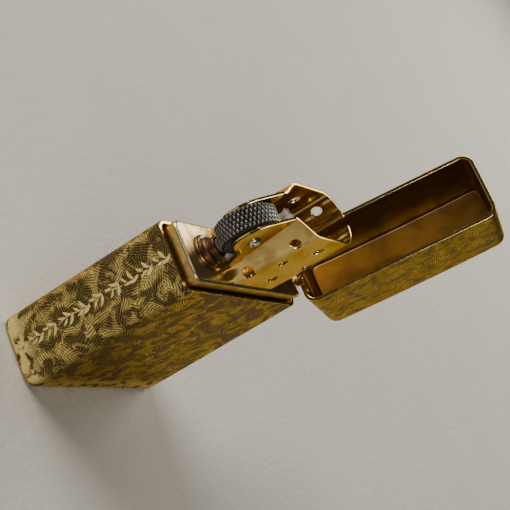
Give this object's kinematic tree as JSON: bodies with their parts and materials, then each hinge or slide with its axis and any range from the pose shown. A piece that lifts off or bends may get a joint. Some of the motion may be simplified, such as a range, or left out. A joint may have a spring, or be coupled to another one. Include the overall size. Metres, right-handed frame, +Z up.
{
  "type": "flip-top lighter",
  "caption": "Windproof petrol lighter, open: etched case with a hinged lid, punched chimney, knurled flint wheel, wick and lid cam.",
  "frame": {"origin": "centre of the case's flat bottom", "axes": "+Z up through the chimney, +X towards the hinge, Y across the narrow side"},
  "size_m": [0.0718, 0.013, 0.072],
  "materials": {
    "antique_brass": "etched relief, dark brown in the hollows and polished gold on the raised strokes",
    "polished_brass": "polished gold-coloured brass with fine hairline wear",
    "tube_brass": "turned, heat-browned brass",
    "steel": "bright domed rivet steel",
    "spring_steel": "blued spring steel",
    "wheel_steel": "blackened steel, worn bright on the knurl's points",
    "flint_metal": "matt ferrocerium",
    "wick_cotton": "braided cotton, lightly singed at the tip",
    "cotton": "loose cotton wadding",
    "felt": "pressed wool felt"
  },
  "bodies": {
    "case": {"case_body": "antique_brass", "hinge_body_leaf": "polished_brass", "hinge_pin": "steel", "insert_shell": "polished_brass", "chimney": "polished_brass", "wheel_rivet": "steel", "cam_rivet": "steel", "cam_spring": "spring_steel", "cam_spring_rivet": "steel", "flint_tube": "tube_brass", "flint_spring": "spring_steel", "flint_screw": "polished_brass", "wick": "wick_cotton", "cotton_packing": "cotton", "felt_pad": "felt"},
    "lid": {"case_lid": "antique_brass", "hinge_lid_leaf": "polished_brass"},
    "wheel": {"flint_wheel": "wheel_steel"},
    "cam": {"cam": "steel"},
    "flint": {"flint": "flint_metal", "flint_plunger": "polished_brass"}
  },
  "joints": [
    {"name": "lid_hinge", "type": "hinge", "parent": "case", "child": "lid", "pos_m": [0.02086, 0, 0.03382], "axis": [0, -1, 0], "range_deg": [0, 105.66]},
    {"name": "wheel_spin", "type": "hinge", "parent": "case", "child": "wheel", "pos_m": [-0.0108, 0, 0.04485], "axis": [0, -1, 0], "continuous": true},
    {"name": "cam_pivot", "type": "hinge", "parent": "case", "child": "cam", "pos_m": [0.0149, 0, 0.0377], "axis": [0, -1, 0], "range_deg": [0, 56]},
    {"name": "flint_feed", "type": "slide", "parent": "case", "child": "flint", "axis": [0, 0, -1], "range_m": [0, 0.001], "stiffness_N_per_m": 400, "springref_m": -0.004, "deforming": ["flint_spring"]}
  ],
  "couplings": [
    {"joint": "cam_pivot", "follows": "lid_hinge", "ratio": 0.53}
  ]
}
